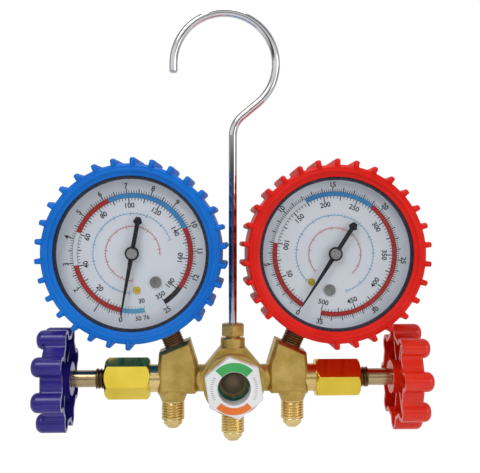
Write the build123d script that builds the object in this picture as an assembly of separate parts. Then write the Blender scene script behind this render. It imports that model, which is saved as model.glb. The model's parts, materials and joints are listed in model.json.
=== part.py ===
from build123d import *
import os
from math import asin, cos, degrees, pi, radians, sin, sqrt

# Refrigerant manifold gauge. X runs along the manifold, Y from front to back, Z up.
# Sizes are in millimetres. Everything is drawn about the manifold's axis (Z = 0) and lifted on
# export, so that the origin lies in the middle of the service port's thread.

# ---------------------------------------------------------------- clearances
fit = 0.05              # shaft in hole, on the radius
play = 0.2              # end play of captive pieces
clear = 0.3             # between pieces of different bodies that pass each other
slight_chamfer = 0.4

# ---------------------------------------------------------------- flare ports, 7/16-20 UNF
flare_r = 5.556
flare_thread = 8.7
flare_neck_r = 4.45
flare_neck = 2.2
flare_mouth_r = 2.4
port_bore_r = 1.9
port_boss_r = 7.0
port_boss_taper = 3.6
side_shoulder = 10.6    # below the manifold axis
centre_shoulder = 17.0

# ---------------------------------------------------------------- gauge cases and their boots
low_tilt = 22.6         # of each gauge, outward from the vertical
high_tilt = 24.2
low_turn = -3.0         # of each gauge about its own stem
high_turn = 0.0
low_zero = 190.4        # of each pointer at rest, clockwise from the vertical
high_zero = 212.8
foot_z = 16.0           # height of the gauge bosses' faces
gauge_neck = 10.1       # of bare stem, from the boss's face to the case
case_r = 38.1
case_wall = 0.8
case_depth = 29.25
bezel_wall = 0.9
bezel_lip = 0.8
bezel_depth = 7.65
lip_cover = 2.7         # of the bezel's lip over the glass
glass_thick = 1.6
boot_wall = 3.3
boot_front = -20.5
boot_skin = 1.8         # of the front lip over the bezel
boot_back_skin = 2.0
boot_back_lip = 5.1
boot_bevel = 2.6        # from the boot's rim in to its ridge
boot_slope = 3.0        # from the ridge in to the lip's edge
boot_round = 1.2
boot_gap = 2.22         # between the middle plane and the left boot's teeth
tooth_height = 2.8
tooth_pitch = 12.0      # in degrees
tooth_width = 2.5
missing_teeth_count = 3 # at the stem

# ---------------------------------------------------------------- manifold forging
bar_r = 6.5
neck_r = 6.65
neck_length = 4.0
block_depth = 14.6
block_low = 6.6
block_high = 6.3
block_round = 1.6
block_out = 7.8         # from the gauge boss's middle to the block's outer end
boss_half = 7.9
port_offset = 0.9       # of the side ports, outward from the gauge bosses
hub_r = 14.2
hub_z = -1.4
hub_back = 7.5
hub_front = -14.5
hub_edge = 1.2
hub_gap = 2.5           # between the hub and the side blocks
hook_boss_r = 5.9
hook_boss_top = 19.6
shoulder_x = 15.5
shoulder_z = 15.0
passage_r = 1.8
chamber_r = 4.2

# ---------------------------------------------------------------- valves
valve_closing = 2.25    # travel inward to the seat, from rest
valve_opening = 3.0
seat_offset = 9.8       # from the side port's axis in to the seat
bonnet_af = 17.3
bonnet_length = 21.2
bonnet_chamfer = 1.4
low_bonnet_turn = 16.7  # of the hexagon's front corner, downward
high_bonnet_turn = -9.0
plug_r = 4.95
plug_length = 6.2
gasket_r = 5.95
gasket_thick = 0.8
gland_bore_r = 3.95
stem_thread_r = 4.85
stem_thread_length = 11.8
stem_thread_shown = 4.4
stem_r = 4.05
drive_af = 5.2
piston_length = 24.15
piston_land = 5.4
piston_rod_r = 2.8
seat_disc_thick = 1.2
seat_disc_r = 3.4
ball_neck_r = 1.6
ball_head_r = 2.3
ball_head = 2.2
ball_neck = 2.0
oring_cord = 0.9
screw_r = 1.8
screw_head_r = 3.8
screw_head = 2.4
screw_depth = 8.0
screw_recess = 3.0      # from the handwheel's face down to the end of the square

# ---------------------------------------------------------------- handwheels
wheel_depth = 14.0
wheel_face_sunk = 3.6   # below the lobes' ends
wheel_skin = 2.8
wheel_valley_r = 20.6
wheel_lobe_r = 4.6
wheel_lobe_out = 0.3    # of the lobes' middles, beyond the valleys' circle
wheel_lobes = 8
wheel_wall = 1.7
wheel_hub_r = 8.0
wheel_hub_proud = 1.2   # of the hub, past the wheel's open edge
wheel_web = 1.7
wheel_web_sunk = 2.5
wheel_crown = 1.6       # rounding of the face's edge
wheel_edge = 2.0        # rounding of the corners between the lobes and the rim
wheel_lobe_round = 3.2  # of the lobes' ends
low_wheel_phase = 20.5
high_wheel_phase = 42.0

# ---------------------------------------------------------------- sight glass
ring_af = 25.0
ring_head = 6.5
ring_turn = 9.0
ring_hole_r = 7.6
ring_plug = 3.8
ring_step = 0.4         # of the ring's plug, wider than the lens
lens_r = 10.6
lens_thick = 3.5
sight_gasket_thick = 1.2
cavity_r = 8.0

# ---------------------------------------------------------------- hook and its gland
wire_r = 2.0
loop_x = -3.86
loop_z = 151.8
loop_r = 24.8
lean = 50.0
bend_r = 12.0
tip_length = 4.6
gland_af = 10.4
gland_head = 5.7
gland_neck = 0.9
gland_thread_r = 3.5
gland_shank = 8.0
collar_r = 3.05
collar = 1.4

# ---------------------------------------------------------------- inside the gauges
dial_rim = 0.5          # between the dial and the case's wall
dial_thick = 0.5
dial_post = 1.3         # from the movement's front plate to the dial
dial_post_r = 2.0
dial_screw_at = 17.2
dial_screw_angle = 16.0
slot_turn = 35.0
big_head_r = 2.7
small_head_r = 1.7
head_thick = 0.8
small_shank_r = 0.8
movement_screw = 4.0    # length of shank in the socket
case_screw = 3.0
screw_drop = 3.0        # of the screws, below the socket's top
screw_stagger = 1.4
case_screw_step = 8.0
stem_foot_r = 5.0
foot_thread_r = 4.85
foot_thread = 8.0
foot_bore_r = 1.2
socket_half = 7.0
socket_height = 17.4
socket_edge = 1.7       # from the case's outside to the socket's bottom
plate_thick = 1.0
plate_corner_r = 3.4
movement_depth = 9.0
gear_module = 0.4
pinion_teeth = 8
sector_teeth_in_turn = 96
sector_teeth = 14
teeth_before_mesh = 3
tooth_share = 0.40      # of the circular pitch that a tooth fills
tooth_root_share = 1.25 # width of a tooth at its root and tip, of that at the pitch circle
tooth_tip_share = 0.5
addendum = 0.32
dedendum = 0.46
tooth_sink = 0.55       # of a tooth, inside the pitch circle, to join the rim
gear_gap = 3.4          # from the front of the movement to the gears
gear_thick = 1.4
sector_side = 20.0      # degrees from straight down to the sector's pivot
sector_hub_r = 2.2
sector_web = 1.8
rim_depth = 2.2
pivot_r = 0.8
tail_length = 7.0
tail_pin_r = 0.7
link_gap = 0.8
link_thick = 1.0
link_eye_r = 1.6
link_width = 1.8
arbor_r = 0.9
tube_ring_r = 27.0
tube_thick = 3.0
tube_round = 1.44       # of its flattened section's corners
tube_wide = 8.0
tube_wall = 0.4
tube_gap = 2.2          # behind the movement
tube_start = 187.0      # clock angles
tube_end = 470.0
tip_span = 8.0
tip_plug_span = 3.0
cut_span = 1.0          # that a cut runs on past a face
spring_gap = 0.4
spring_wide = 0.7
spring_wire = 0.3
spring_step = 0.55
spring_halves = 6
collet_r = 1.9
pillar_r = 1.6
pillar_x = 12.5
pillar_z = 4.0
pointer_thick = 0.5
pointer_gap = 2.5       # in front of the dial
pointer_hub_r = 3.3
pointer_reach = 29.2
needle_root = 1.15      # half widths
needle_point = 0.28
pointer_tail = 17.2
tail_half = 1.0
diamond_half = 2.2
diamond_rise = 2.4      # from the tail's end to its widest place and to its neck
diamond_length = 3.6
cap_r = 2.5
cap_thick = 0.9
cap_gap = 0.35          # behind the glass

# ---------------------------------------------------------------- derived: up and across the front
lift = centre_shoulder + flare_thread / 2
boot_r = case_r + boot_wall
boot_tooth_r = boot_r + tooth_height
boot_ridge_r = boot_r - boot_bevel
boot_lip_r = boot_ridge_r - boot_slope
gauge_reach = case_r + gauge_neck
foot_x = boot_gap + boot_tooth_r - gauge_reach * sin(radians(low_tilt))
socket_bottom = socket_edge - case_r
socket_top = socket_bottom + socket_height
ring_plug_r = lens_r + ring_step
gland_top = hook_boss_top + gland_neck + gland_head

# ---------------------------------------------------------------- derived: outward along the manifold
port_x = foot_x + port_offset
block_in = hub_r + hub_gap
neck_in = foot_x + block_out
neck_out = neck_in + neck_length
seat_x = port_x - seat_offset
plug_in = neck_out - plug_length
bonnet_end = neck_out + bonnet_length
tip_x = seat_x + valve_closing + play
piston_back = tip_x + piston_length
stem_nose_x = piston_back + play
thread_bore_in = piston_back + valve_opening + 2 * play
stem_thread_out = bonnet_end + stem_thread_shown
stem_thread_in = stem_thread_out - stem_thread_length

# The handwheel, when closed, clears the right boot's teeth by the running clearance.
wheel_lobe_at = wheel_valley_r + wheel_lobe_out
wheel_top = wheel_lobe_at + wheel_lobe_r
right_gauge_x = foot_x + gauge_reach * sin(radians(high_tilt))
right_gauge_z = foot_z + gauge_reach * cos(radians(high_tilt))
beside_boot = sqrt((boot_tooth_r + clear) ** 2 - (right_gauge_z - wheel_top) ** 2)
wheel_rim = right_gauge_x + beside_boot + valve_closing
wheel_out = wheel_rim + wheel_depth
wheel_face = wheel_out - wheel_face_sunk
wheel_floor = wheel_face - wheel_skin
wheel_web_in = wheel_rim + wheel_web_sunk
wheel_hub_in = wheel_rim - wheel_hub_proud
stem_shoulder = wheel_hub_in - clear
drive_end = wheel_face - screw_recess

# ---------------------------------------------------------------- derived: front to back
ring_front = hub_front - ring_head
cavity_floor = clear - passage_r
bezel_front = boot_front + boot_skin + fit
bezel_back = bezel_front + bezel_depth
case_front = bezel_front + bezel_lip + glass_thick
case_back = case_front + case_depth
boot_back = case_back + boot_back_skin
pointer_front = case_front + cap_gap + cap_thick
dial_front = pointer_front + pointer_thick + pointer_gap
plate_front = dial_front + dial_thick + dial_post
plate_back = plate_front + movement_depth
gear_front = plate_front + gear_gap
link_front = gear_front + gear_thick + link_gap
spring_front = plate_front + plate_thick + spring_gap
tube_front = plate_back + tube_gap


def slab(sketch, front, back):
    """A plate drawn in front view, between two depths along Y."""
    return extrude(Plane.XZ.offset(-back) * sketch, amount=back - front)


def post(radius, front, back, at=(0, 0)):
    """A round post along Y."""
    return slab(Pos(at[0], at[1]) * Circle(radius), front, back)


def rod_x(radius, start, end):
    """A round bar along X."""
    return extrude(Plane.YZ.offset(start) * Circle(radius), amount=end - start)


def rod_z(radius, bottom, top, x=0, y=0):
    """A round bar along Z."""
    return Pos(x, y, bottom) * extrude(Circle(radius), amount=top - bottom)


def turned_x(*points):
    """A body turned about X from (x, radius) points."""
    return revolve(make_face(Polyline(*points, close=True)), Axis.X)


def turned_y(*points):
    """A body turned about Y from (radius, y) points."""
    return revolve(make_face(Polyline(*points, close=True)), Axis.Y)


def turned_z(*points):
    """A body turned about Z from (radius, z) points."""
    return revolve(Plane.XZ * make_face(Polyline(*points, close=True)), Axis.Z)


def clock(radius, angle):
    """A place in front view, clockwise from the top."""
    return (radius * sin(radians(angle)), radius * cos(radians(angle)))


def save(name, shape):
    export_step(Pos(0, 0, lift) * shape, f"parts/{name}.step")


# ---------------------------------------------------------------- manifold
def gauge_axis_point(along, tilt):
    """A place on the right gauge's stem axis, measured from the boss face towards the gauge."""
    return (foot_x + along * sin(radians(tilt)), foot_z + along * cos(radians(tilt)))


def flare_port(x, shoulder):
    """A tapered boss, a thread drawn as a plain cylinder, and the flare's nose, pointing down."""
    thread_end = shoulder + flare_thread
    neck_end = thread_end + flare_neck
    nose_end = neck_end + flare_neck_r - flare_mouth_r
    shape = turned_z(
        (0, 0),
        (port_boss_r, 0),
        (port_boss_r, -shoulder + port_boss_taper),
        (flare_r, -shoulder),
        (flare_r, -thread_end),
        (flare_neck_r, -thread_end),
        (flare_neck_r, -neck_end),
        (flare_mouth_r, -nose_end),
        (0, -nose_end),
    )
    return Pos(x, 0, 0) * shape


def port_drill(x, shoulder):
    depth = shoulder + flare_thread + flare_neck + flare_neck_r
    return rod_z(port_bore_r, -depth, 0, x)


def side_block(tilt):
    """The flat-fronted forging under each gauge, from the port's boss to the gauge's boss."""
    along_x = boss_half * cos(radians(tilt))
    along_z = boss_half * sin(radians(tilt))
    outline = Polyline(
        (block_in, -block_low + block_round),
        (block_in, block_high),
        (foot_x - along_x, foot_z + along_z),
        (foot_x + along_x, foot_z - along_z),
        (neck_in, block_high),
        (neck_in, -block_low),
        (block_in + block_round, -block_low),
        close=True,
    )
    block = slab(make_face(outline), -block_depth / 2, block_depth / 2)
    return chamfer(block.faces().sort_by(Axis.Y)[0].edges(), block_round)


def centre_hub():
    """The round hub behind the sight glass, its sloped shoulders and the hook's boss."""
    hub = post(hub_r, hub_front, hub_back, (0, hub_z))
    hub = chamfer(hub.faces().sort_by(Axis.Y)[-1].edges(), hub_edge)
    shoulders = Polyline(
        (-shoulder_x, 0),
        (-shoulder_x, bar_r / 2),
        (-hook_boss_r, shoulder_z),
        (hook_boss_r, shoulder_z),
        (shoulder_x, bar_r / 2),
        (shoulder_x, 0),
        close=True,
    )
    web = slab(make_face(shoulders), -bar_r, bar_r)
    boss = rod_z(hook_boss_r, 0, hook_boss_top)
    boss = chamfer(boss.faces().sort_by(Axis.Z)[-1].edges(), slight_chamfer)
    return hub + web + boss


def sight_cavity():
    """The counterbore for ring, lens and gasket, and the domed chamber behind them."""
    seat = sight_seat()
    bore = post(ring_plug_r + fit, hub_front, hub_front + ring_plug, (0, hub_z))
    pocket = post(lens_r + fit, hub_front, seat, (0, hub_z))
    depth = cavity_floor - seat
    ball_r = (cavity_r**2 + depth**2) / (2 * depth)
    dome = Pos(0, cavity_floor - ball_r, hub_z) * Sphere(ball_r)
    return bore + pocket + (dome & post(cavity_r, seat, cavity_floor, (0, hub_z)))


def sight_seat():
    return hub_front + ring_plug + lens_thick + sight_gasket_thick


def gauge_drill(tilt):
    """The tapped hole in a gauge's boss and the small drilling on to the valve chamber."""
    bottom_x, bottom_z = gauge_axis_point(-foot_thread - play, tilt)
    tapped = extrude(Circle(foot_thread_r + fit), amount=foot_thread + 2 * play)
    drilled = Pos(0, 0, -bottom_z) * extrude(Circle(foot_bore_r), amount=bottom_z)
    return Pos(bottom_x, 0, bottom_z) * Rot(0, tilt, 0) * (tapped + drilled)


def manifold_half(tilt):
    bar = rod_x(bar_r, 0, neck_in) + rod_x(neck_r, neck_in - block_round, neck_out)
    return bar + side_block(tilt) + flare_port(port_x, side_shoulder)


def half_bores(tilt):
    bores = rod_x(chamber_r, seat_x, plug_in) + rod_x(plug_r + fit, plug_in, neck_out)
    bores += rod_x(passage_r, 0, seat_x)
    return bores + port_drill(port_x, side_shoulder) + gauge_drill(tilt)


def manifold_body():
    body = manifold_half(high_tilt) + mirror(manifold_half(low_tilt), Plane.YZ)
    body += centre_hub() + flare_port(0, centre_shoulder)
    body -= half_bores(high_tilt) + mirror(half_bores(low_tilt), Plane.YZ)
    body -= port_drill(0, centre_shoulder) + sight_cavity()
    return body - rod_z(gland_thread_r + fit, gland_floor(), hook_boss_top)


# ---------------------------------------------------------------- sight glass
def sight_glass_ring():
    corner_r = ring_af / 2 / cos(radians(30))
    hexagon = Rot(0, 0, 30 + ring_turn) * RegularPolygon(corner_r, 6)
    ring = slab(Pos(0, hub_z) * hexagon, ring_front, hub_front)
    ring = chamfer(ring.faces().sort_by(Axis.Y)[0].edges(), slight_chamfer)
    ring += post(ring_plug_r, hub_front, hub_front + ring_plug, (0, hub_z))
    return ring - post(ring_hole_r, ring_front, hub_front + ring_plug, (0, hub_z))


def sight_glass_lens():
    front = hub_front + ring_plug
    return post(lens_r, front, front + lens_thick, (0, hub_z))


def sight_glass_gasket():
    front = hub_front + ring_plug + lens_thick
    gasket = post(lens_r, front, sight_seat(), (0, hub_z))
    return gasket - post(cavity_r, front, sight_seat(), (0, hub_z))


# ---------------------------------------------------------------- hook
def gland_floor():
    """The bottom of the hook boss's bore, one collar and two end plays below the gland."""
    return gland_shank_end() - collar - 2 * play


def gland_shank_end():
    return hook_boss_top - gland_shank


def hook_gland():
    """A hollow hexagon screw that traps the hook's collar and lets the hook swivel."""
    head_bottom = hook_boss_top + gland_neck
    head = extrude(RegularPolygon(gland_af / 2 / cos(radians(30)), 6), amount=gland_top - head_bottom)
    head = Pos(0, 0, head_bottom) * Rot(0, 0, 30) * head
    head &= turned_z(
        (0, head_bottom),
        (gland_af / 2 + 2 * slight_chamfer, head_bottom),
        (gland_af / 2 + 2 * slight_chamfer, gland_top - 2 * slight_chamfer),
        (gland_af / 2 - slight_chamfer, gland_top),
        (0, gland_top),
    )
    shank = rod_z(gland_thread_r, gland_shank_end(), head_bottom)
    return head + shank - rod_z(wire_r + fit, gland_shank_end(), gland_top)


def hook():
    """Round wire: straight up, a reverse bend, then the loop over to the left and a short tip."""
    lean_x, lean_z = sin(radians(lean)), cos(radians(lean))
    join_x = loop_x + loop_r * lean_z
    join_z = loop_z - loop_r * lean_x
    straight = (join_x - bend_r * (1 - lean_z)) / lean_x
    bend_z = join_z - straight * lean_z - bend_r * lean_x
    bottom = gland_floor() + play
    rise = Line((0, bottom), (0, bend_z))
    bend = JernArc(rise @ 1, rise % 1, bend_r, -lean)
    slope = Line(bend @ 1, (join_x, join_z))
    loop = JernArc(slope @ 1, slope % 1, loop_r, 180 + lean)
    tip = Line(loop @ 1, (loop_x - loop_r, loop_z - tip_length))
    path = Plane.XZ * (rise + bend + slope + loop + tip)
    wire = sweep(Pos(0, 0, bottom) * Circle(wire_r), path=path)
    wire = fillet(wire.faces().filter_by(GeomType.PLANE).sort_by(Axis.Z)[-1].edges(), wire_r / 2)
    return wire + rod_z(collar_r, bottom, bottom + collar)


# ---------------------------------------------------------------- valves, drawn for the right side
def bonnet(turn):
    hexagon = Rot(0, 0, turn) * RegularPolygon(bonnet_af / 2 / cos(radians(30)), 6)
    body = extrude(Plane.YZ.offset(neck_out) * hexagon, amount=bonnet_end - neck_out)
    crown = bonnet_af / 2 + bonnet_chamfer
    body &= turned_x(
        (neck_out, 0),
        (neck_out, crown - bonnet_chamfer),
        (neck_out + bonnet_chamfer, crown),
        (bonnet_end - bonnet_chamfer, crown),
        (bonnet_end, crown - bonnet_chamfer),
        (bonnet_end, 0),
    )
    body += rod_x(plug_r, plug_in, neck_out)
    body -= rod_x(gasket_r + fit, neck_out, neck_out + gasket_thick) - rod_x(plug_r, plug_in, bonnet_end)
    body -= rod_x(gland_bore_r, plug_in, thread_bore_in)
    return body - rod_x(stem_thread_r + fit, thread_bore_in, bonnet_end)


def bonnet_gasket():
    washer = rod_x(gasket_r, neck_out, neck_out + gasket_thick)
    return washer - rod_x(plug_r + fit, neck_out, neck_out + gasket_thick)


def groove_x():
    """The middle of the piston's O-ring groove."""
    return piston_back - piston_land / 2


def piston():
    """A rod with a sealing land; its hollow back end traps the stem's ball head."""
    body = turned_x(
        (tip_x + seat_disc_thick, 0),
        (tip_x + seat_disc_thick, piston_rod_r),
        (piston_back - piston_land, piston_rod_r),
        (piston_back - piston_land, gland_bore_r - fit),
        (piston_back, gland_bore_r - fit),
        (piston_back, 0),
    )
    groove = rod_x(gland_bore_r, groove_x() - oring_cord, groove_x() + oring_cord)
    body -= groove - rod_x(gland_bore_r - oring_cord, plug_in, piston_back)
    neck_start = stem_nose_x - ball_neck
    body -= rod_x(ball_neck_r + play / 2, neck_start, piston_back)
    return body - rod_x(ball_head_r + play / 2, neck_start - ball_head - play, neck_start + play)


def piston_oring():
    """Pressed into its groove to a flat-sided section."""
    ring = rod_x(gland_bore_r - fit, groove_x() - oring_cord / 2, groove_x() + oring_cord / 2)
    return ring - rod_x(gland_bore_r - oring_cord, groove_x() - oring_cord, groove_x() + oring_cord)


def seat_disc():
    disc = rod_x(seat_disc_r, tip_x, tip_x + seat_disc_thick)
    return chamfer(disc.faces().sort_by(Axis.X)[0].edges(), seat_disc_thick / 2)


def drive(oversize):
    """The square that carries the handwheel."""
    side = drive_af + 2 * oversize
    return extrude(Plane.YZ.offset(stem_shoulder) * Rectangle(side, side), amount=drive_end - stem_shoulder)


def stem():
    neck_start = stem_nose_x - ball_neck
    body = turned_x(
        (neck_start - ball_head, 0),
        (neck_start - ball_head, ball_head_r),
        (neck_start, ball_head_r),
        (neck_start, ball_neck_r),
        (stem_nose_x, ball_neck_r),
        (stem_nose_x, gland_bore_r - 2 * fit),
        (stem_thread_in, gland_bore_r - 2 * fit),
        (stem_thread_in, stem_thread_r),
        (stem_thread_out, stem_thread_r),
        (stem_thread_out, stem_r),
        (stem_shoulder, stem_r),
        (stem_shoulder, 0),
    )
    return body + drive(0) - rod_x(screw_r + fit, drive_end - screw_depth, drive_end)


def wheel_outline(inset):
    """The lobed outline in side view, drawn inwards by the wall's thickness."""
    shape = Circle(wheel_valley_r - inset)
    for n in range(wheel_lobes):
        place = Rot(0, 0, n * 360 / wheel_lobes) * Pos(wheel_lobe_at, 0)
        shape += place * Circle(wheel_lobe_r - inset)
    return fillet(shape.vertices(), wheel_edge + inset / 2)


def handwheel(phase):
    """A hollow wheel, open towards the manifold, with finger-like lobes, a hub and radial webs."""
    start = Plane.YZ.offset(wheel_rim)
    shell = extrude(start * wheel_outline(0), amount=wheel_face - wheel_rim)
    shell = fillet(shell.faces().sort_by(Axis.X)[-1].edges(), wheel_crown)
    lobe = rod_x(wheel_lobe_r, wheel_rim, wheel_out)
    lobe = fillet(lobe.faces().sort_by(Axis.X)[-1].edges(), wheel_lobe_round)
    for n in range(wheel_lobes):
        shell += Rot(n * 360 / wheel_lobes, 0, 0) * Pos(0, wheel_lobe_at, 0) * lobe
    shell -= extrude(start * wheel_outline(wheel_wall), amount=wheel_floor - wheel_rim)
    shell += rod_x(wheel_hub_r, wheel_hub_in, wheel_floor)
    for n in range(wheel_lobes):
        blade = extrude(
            Plane.YZ.offset(wheel_web_in) * Pos(wheel_valley_r / 2, 0) * Rectangle(wheel_valley_r, wheel_web),
            amount=wheel_floor - wheel_web_in,
        )
        shell += Rot((n + 0.5) * 360 / wheel_lobes, 0, 0) * blade
    shell = Rot(phase, 0, 0) * shell - drive(fit)
    return shell - rod_x(screw_head_r + play, drive_end, wheel_face)


def handwheel_screw():
    head = rod_x(screw_head_r, drive_end + fit, drive_end + fit + screw_head)
    head = chamfer(head.faces().sort_by(Axis.X)[-1].edges(), screw_head / 4)
    head -= Pos(drive_end + screw_head, 0, 0) * Box(screw_head, screw_head_r / 3, 2 * screw_head_r + play)
    return head + rod_x(screw_r, drive_end - screw_depth + play, drive_end + fit)


# ---------------------------------------------------------------- gauges, drawn upright, stem down
def boot():
    """The ribbed rubber boot: a barrel with lips over the bezel and behind the case."""
    lip_back = boot_front + boot_skin
    shell = turned_y(
        (boot_lip_r, boot_front + boot_round),
        (boot_ridge_r, boot_front),
        (boot_r - boot_round, boot_front),
        (boot_r, boot_front + boot_round),
        (boot_r, boot_back - boot_round),
        (boot_r - boot_round, boot_back),
        (case_r - boot_back_lip, boot_back),
        (case_r - boot_back_lip, case_back + fit),
        (case_r + fit, case_back + fit),
        (case_r + fit, bezel_back + fit),
        (case_r + bezel_wall + 2 * fit, bezel_back + fit),
        (case_r + bezel_wall + 2 * fit, lip_back),
        (boot_lip_r, lip_back),
    )
    count = round(360 / tooth_pitch) - missing_teeth_count
    first = 180 - (count - 1) * tooth_pitch / 2
    rib = slab(
        Pos(0, boot_r + (tooth_height - boot_round) / 2)
        * Rectangle(tooth_width, tooth_height + boot_round),
        boot_front + boot_round / 2,
        boot_back - boot_round,
    )
    tip = rib.faces().sort_by(Axis.Z)[-1]
    rib = chamfer(tip.edges(), tooth_width / 4)
    ribs = [Rot(0, 180 + first + n * tooth_pitch, 0) * rib for n in range(count)]
    shell += ribs
    return shell - rod_z(stem_foot_r + play, -boot_tooth_r, -case_r + boot_round)


def case():
    cup = post(case_r, case_front, case_back) - post(case_r - case_wall, case_front, case_back - case_wall)
    cup -= rod_z(stem_foot_r + fit, -case_r - case_wall, socket_bottom)
    for place in case_screw_places():
        cup -= post(small_shank_r + fit, case_back - case_wall, case_back, place)
    return cup


def bezel():
    """A pressed ring round the mouth of the case, with a lip over the glass."""
    return turned_y(
        (case_r - lip_cover, bezel_front),
        (case_r + bezel_wall + fit, bezel_front),
        (case_r + bezel_wall + fit, bezel_back),
        (case_r + fit, bezel_back),
        (case_r + fit, bezel_front + bezel_lip),
        (case_r - lip_cover, bezel_front + bezel_lip),
    )


def gauge_glass():
    return post(case_r - play, case_front - glass_thick, case_front)


def dial_screw_places():
    return [clock(dial_screw_at, 180 - dial_screw_angle), clock(dial_screw_at, 180 + dial_screw_angle)]


def dial():
    face = post(case_r - case_wall - dial_rim, dial_front, dial_front + dial_thick) - post(arbor_r + clear, dial_front, plate_front)
    for place in dial_screw_places():
        face -= post(small_shank_r + fit, dial_front, plate_front, place)
    return face


def dial_screws():
    """A large slotted screw and a small one."""
    screws = []
    for place, radius in zip(dial_screw_places(), [big_head_r, small_head_r]):
        head = post(radius, dial_front - head_thick, dial_front, place)
        slot = Pos(place[0], dial_front - head_thick, place[1])
        head -= slot * Rot(0, slot_turn, 0) * Box(2 * radius + play, head_thick, radius / 4)
        screws.append(head + post(small_shank_r, dial_front, plate_front + plate_thick - play, place))
    return screws


def socket():
    """The block that carries tube and movement, with the round threaded foot below it."""
    height = socket_top - socket_bottom
    outline = Pos(0, socket_bottom + height / 2) * Rectangle(2 * socket_half, height)
    block = slab(outline, plate_back, case_back - case_wall)
    foot = rod_z(stem_foot_r, -gauge_reach, socket_bottom + height / 4)
    foot += rod_z(foot_thread_r, -gauge_reach - foot_thread, -gauge_reach)
    body = block + foot
    tube_y = tube_front + tube_wide / 2
    body -= rod_z(foot_bore_r, -gauge_reach - foot_thread, -tube_ring_r - tube_thick / 2)
    body -= Pos(0, tube_y / 2, -tube_ring_r - tube_thick) * Box(foot_bore_r, tube_y, tube_thick)
    body -= tube_sweep(tube_thick + 2 * fit, tube_wide + 2 * fit, tube_start - cut_span, 360)
    for place in movement_screw_places():
        body -= post(small_shank_r + fit, plate_back, plate_back + movement_screw + play, place)
    for place in case_screw_places():
        body -= post(small_shank_r + fit, case_back - case_screw - play, case_back, place)
    return body


def tube_sweep(thick, wide, start, end):
    """A flattened tube's outside, or inside, between two clock angles."""
    middle = Pos(tube_ring_r, tube_front + tube_wide / 2)
    profile = middle * RectangleRounded(thick, wide, thick * tube_round / tube_thick)
    return Rot(0, start - 90, 0) * revolve(profile, Axis.Y, end - start)


def bourdon_tube():
    outside = tube_sweep(tube_thick, tube_wide, tube_start, tube_end)
    inside_thick = tube_thick - 2 * tube_wall
    return outside - tube_sweep(inside_thick, tube_wide - 2 * tube_wall, tube_start - cut_span, tube_end + cut_span)


def tip_place():
    return clock(tube_ring_r, tube_end + tip_span / 2)


def tube_tip():
    """The plug that closes the tube, with the lug that the link faces."""
    plug = tube_sweep(tube_thick, tube_wide, tube_end, tube_end + tip_span)
    inner = tube_thick - 2 * tube_wall - 2 * fit
    plug += tube_sweep(
        inner, tube_wide - 2 * tube_wall - 2 * fit, tube_end - tip_plug_span, tube_end + cut_span
    )
    lug_front = link_front + link_thick + clear
    lug = post(tube_thick / 2, lug_front, tube_front + tube_thick / 2, tip_place())
    hole = post(tail_pin_r + fit, lug_front, lug_front + 2 * link_thick, tip_place())
    return plug + lug - hole


def sector_pivot():
    return clock(gear_distance(), 180 - sector_side)


def gear_distance():
    return gear_module * (pinion_teeth + sector_teeth_in_turn) / 2


def tail_place():
    x, z = sector_pivot()
    return (x + tail_length, z)


def tooth(pitch_r):
    """A tapered tooth standing up on the pitch circle, reaching inside it to join the rim."""
    half = tooth_share * pi * gear_module / 2
    return make_face(
        Polyline(
            (-half * tooth_root_share, pitch_r - tooth_sink),
            (-half, pitch_r),
            (-half * tooth_tip_share, pitch_r + addendum),
            (half * tooth_tip_share, pitch_r + addendum),
            (half, pitch_r),
            (half * tooth_root_share, pitch_r - tooth_sink),
            close=True,
        )
    )


def pie(radius, start, end):
    """A slice of a disc between two clock angles, centred on the pivot."""
    middle = (start + end) / 2
    edges = Line((0, 0), clock(radius, start))
    edges += ThreePointArc(clock(radius, start), clock(radius, middle), clock(radius, end))
    edges += Line(clock(radius, end), (0, 0))
    return make_face(edges)


def sector_gear():
    """A toothed sector with a windowed arm, a hub and a tail for the link, in mesh at rest."""
    step = 360 / sector_teeth_in_turn
    pitch_r = gear_module * sector_teeth_in_turn / 2
    root_r = pitch_r - dedendum
    first = (0.5 - teeth_before_mesh) * step
    last = first + (sector_teeth - 1) * step
    plate = pie(root_r, first - step / 2, last + step / 2)
    plate -= pie(root_r - rim_depth, first + step, last - step) - Circle(sector_hub_r + sector_web)
    for n in range(sector_teeth):
        plate += Rot(0, 0, -first - n * step) * tooth(pitch_r)
    plate += Circle(sector_hub_r)
    plate = Rot(0, 0, sector_side) * plate
    plate += Pos(tail_length / 2, 0) * Rectangle(tail_length, link_width)
    plate += Pos(tail_length, 0) * Circle(link_eye_r)
    x, z = sector_pivot()
    gear = slab(Pos(x, z) * plate, gear_front, gear_front + gear_thick)
    gear += post(pivot_r, plate_front + play, plate_back - play, (x, z))
    gear += post(sector_hub_r - clear, gear_front - gear_thick / 2, gear_front + 2 * gear_thick, (x, z))
    return gear + post(tail_pin_r, gear_front, link_front + link_thick, tail_place())


def link():
    """A flat bar with an eye at each end; the eye at the tube's tip is left open."""
    start, end = tail_place(), tip_place()
    dx, dz = end[0] - start[0], end[1] - start[1]
    length = (dx**2 + dz**2) ** 0.5
    slope = degrees(asin(dz / length))
    bar = Rectangle(length, link_width)
    bar += Pos(-length / 2, 0) * Circle(link_eye_r) + Pos(length / 2, 0) * Circle(link_eye_r)
    bar -= Pos(-length / 2, 0) * Circle(tail_pin_r + fit) + Pos(length / 2, 0) * Circle(tail_pin_r + fit)
    bar = Pos(start[0] + dx / 2, start[1] + dz / 2) * Rot(0, 0, slope) * bar
    return slab(bar, link_front, link_front + link_thick)


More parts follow.
